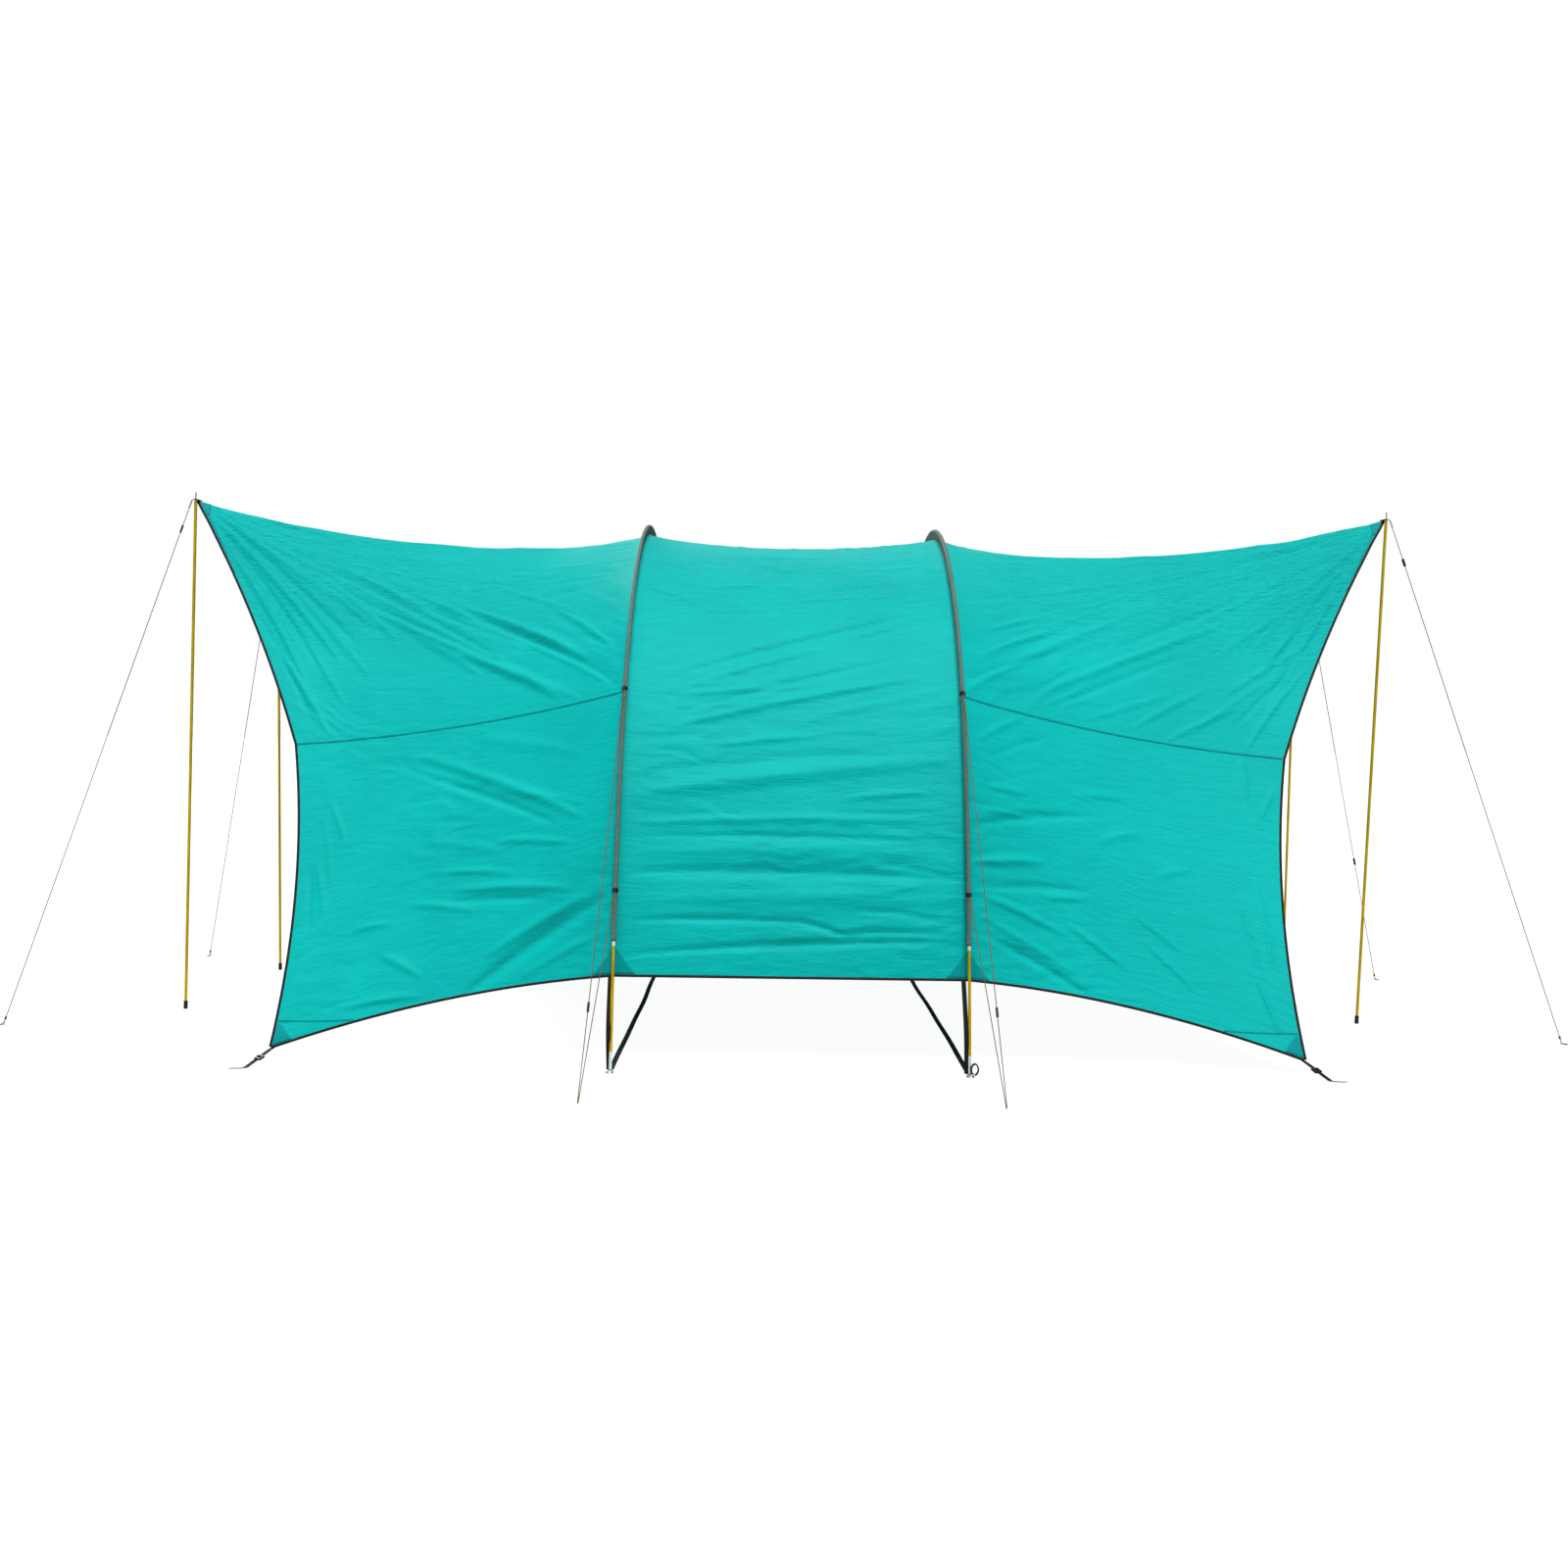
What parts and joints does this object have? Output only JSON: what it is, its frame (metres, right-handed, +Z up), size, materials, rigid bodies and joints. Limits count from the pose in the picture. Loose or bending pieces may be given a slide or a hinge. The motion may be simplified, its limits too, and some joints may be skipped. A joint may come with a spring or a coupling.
{
  "type": "tunnel tarp shelter",
  "caption": "Open-ended tunnel tarp on arched poles sewn into outside sleeves, with end wings raised on upright poles, webbing straps and guy lines with sliding tensioners.",
  "frame": {"origin": "middle of the footprint, on the ground", "axes": "+X along the tunnel through both arches, +Y across it from the near side wall to the far one, +Z up"},
  "size_m": [6.1528, 4.241, 2.1486],
  "materials": {
    "cloth": "thin coated polyester, teal, slightly glossy",
    "patch_cloth": "the same cloth doubled, darker",
    "binding_tape": "dark woven tape",
    "sleeve_mesh": "grey open mesh tape",
    "pole_aluminium": "gold anodised tube",
    "silver_aluminium": "bare aluminium, satin",
    "shock_cord": "elastic cord",
    "steel": "zinc plated steel",
    "green_webbing": "dark green webbing",
    "black_webbing": "black webbing",
    "rubber": "black rubber",
    "black_plastic": "black moulded nylon",
    "orange_cord": "braided cord",
    "pale_cord": "braided cord"
  },
  "bodies": {
    "canopy": {"arch_ferrules": "silver_aluminium", "arch_guy_far_left": "orange_cord", "arch_guy_far_right": "orange_cord", "arch_guy_near_left": "orange_cord", "arch_guy_near_right": "orange_cord", "arch_guy_tabs": "black_webbing", "arch_pole_left": "pole_aluminium", "arch_pole_right": "pole_aluminium", "arch_shock_cords": "shock_cord", "arch_sleeve_left": "sleeve_mesh", "arch_sleeve_right": "sleeve_mesh", "arch_tips": "silver_aluminium", "centre_panel": "cloth", "corner_straps": "black_webbing", "corner_tabs": "black_webbing", "edge_bindings": "binding_tape", "eyelets": "steel", "foot_pins": "steel", "foot_rings": "steel", "ground_corner_patches": "patch_cloth", "ground_straps": "green_webbing", "hem_bindings": "binding_tape", "hem_patches": "patch_cloth", "hem_straps": "black_webbing", "pole_corner_patches": "patch_cloth", "wing_guy_far_left": "pale_cord", "wing_guy_far_right": "pale_cord", "wing_guy_loops": "black_webbing", "wing_guy_near_left": "pale_cord", "wing_guy_near_right": "pale_cord", "wing_roof_left": "cloth", "wing_roof_right": "cloth", "wing_wall_far_left": "cloth", "wing_wall_far_right": "cloth", "wing_wall_near_left": "cloth", "wing_wall_near_right": "cloth"},
    "pole_body_near_left": {"pole_near_left": "pole_aluminium", "pole_foot_near_left": "rubber", "pole_spike_near_left": "steel"},
    "arch_slider_body_near_left": {"arch_slider_near_left": "black_plastic"},
    "wing_slider_body_near_left": {"wing_slider_near_left": "black_plastic"},
    "corner_buckle_body_near_left": {"corner_buckle_near_left": "black_plastic"},
    "pole_body_near_right": {"pole_near_right": "pole_aluminium", "pole_foot_near_right": "rubber", "pole_spike_near_right": "steel"},
    "arch_slider_body_near_right": {"arch_slider_near_right": "black_plastic"},
    "wing_slider_body_near_right": {"wing_slider_near_right": "black_plastic"},
    "corner_buckle_body_near_right": {"corner_buckle_near_right": "black_plastic"},
    "pole_body_far_left": {"pole_far_left": "pole_aluminium", "pole_foot_far_left": "rubber", "pole_spike_far_left": "steel"},
    "arch_slider_body_far_left": {"arch_slider_far_left": "black_plastic"},
    "wing_slider_body_far_left": {"wing_slider_far_left": "black_plastic"},
    "corner_buckle_body_far_left": {"corner_buckle_far_left": "black_plastic"},
    "pole_body_far_right": {"pole_far_right": "pole_aluminium", "pole_foot_far_right": "rubber", "pole_spike_far_right": "steel"},
    "arch_slider_body_far_right": {"arch_slider_far_right": "black_plastic"},
    "wing_slider_body_far_right": {"wing_slider_far_right": "black_plastic"},
    "corner_buckle_body_far_right": {"corner_buckle_far_right": "black_plastic"}
  },
  "joints": [
    {"name": "pole_tilt_near_left", "type": "hinge", "parent": "canopy", "child": "pole_body_near_left", "pos_m": [-2.476, -0.533, 2.118], "axis": [0, 1, 0], "range_deg": [-8, 14]},
    {"name": "arch_slider_slide_near_left", "type": "slide", "parent": "canopy", "child": "arch_slider_body_near_left", "axis": [-0.0326, -0.5402, -0.8409], "range_m": [-0.775, 0.175]},
    {"name": "wing_slider_slide_near_left", "type": "slide", "parent": "canopy", "child": "wing_slider_body_near_left", "axis": [-0.2636, -0.1716, -0.9493], "range_m": [-0.05, 1.4]},
    {"name": "corner_buckle_slide_near_left", "type": "slide", "parent": "canopy", "child": "corner_buckle_body_near_left", "axis": [-0.4327, -0.8277, -0.3574], "range_m": [-0.022, 0.022]},
    {"name": "pole_tilt_near_right", "type": "hinge", "parent": "canopy", "child": "pole_body_near_right", "pos_m": [2.476, -0.533, 2.118], "axis": [0, -1, 0], "range_deg": [-8, 14]},
    {"name": "arch_slider_slide_near_right", "type": "slide", "parent": "canopy", "child": "arch_slider_body_near_right", "axis": [0.0326, -0.5402, -0.8409], "range_m": [-0.775, 0.175]},
    {"name": "wing_slider_slide_near_right", "type": "slide", "parent": "canopy", "child": "wing_slider_body_near_right", "axis": [0.2636, -0.1716, -0.9493], "range_m": [-0.05, 1.4]},
    {"name": "corner_buckle_slide_near_right", "type": "slide", "parent": "canopy", "child": "corner_buckle_body_near_right", "axis": [0.4327, -0.8277, -0.3574], "range_m": [-0.022, 0.022]},
    {"name": "pole_tilt_far_left", "type": "hinge", "parent": "canopy", "child": "pole_body_far_left", "pos_m": [-2.476, 0.533, 2.118], "axis": [0, 1, 0], "range_deg": [-8, 14]},
    {"name": "arch_slider_slide_far_left", "type": "slide", "parent": "canopy", "child": "arch_slider_body_far_left", "axis": [-0.0326, 0.5402, -0.8409], "range_m": [-0.775, 0.175]},
    {"name": "wing_slider_slide_far_left", "type": "slide", "parent": "canopy", "child": "wing_slider_body_far_left", "axis": [-0.2103, 0.185, -0.96], "range_m": [-0.05, 1.4]},
    {"name": "corner_buckle_slide_far_left", "type": "slide", "parent": "canopy", "child": "corner_buckle_body_far_left", "axis": [-0.4327, 0.8277, -0.3574], "range_m": [-0.022, 0.022]},
    {"name": "pole_tilt_far_right", "type": "hinge", "parent": "canopy", "child": "pole_body_far_right", "pos_m": [2.476, 0.533, 2.118], "axis": [0, -1, 0], "range_deg": [-8, 14]},
    {"name": "arch_slider_slide_far_right", "type": "slide", "parent": "canopy", "child": "arch_slider_body_far_right", "axis": [0.0326, 0.5402, -0.8409], "range_m": [-0.775, 0.175]},
    {"name": "wing_slider_slide_far_right", "type": "slide", "parent": "canopy", "child": "wing_slider_body_far_right", "axis": [0.2189, 0.0569, -0.9741], "range_m": [-1.35, 0.4]},
    {"name": "corner_buckle_slide_far_right", "type": "slide", "parent": "canopy", "child": "corner_buckle_body_far_right", "axis": [0.4327, 0.8277, -0.3574], "range_m": [-0.022, 0.022]}
  ]
}
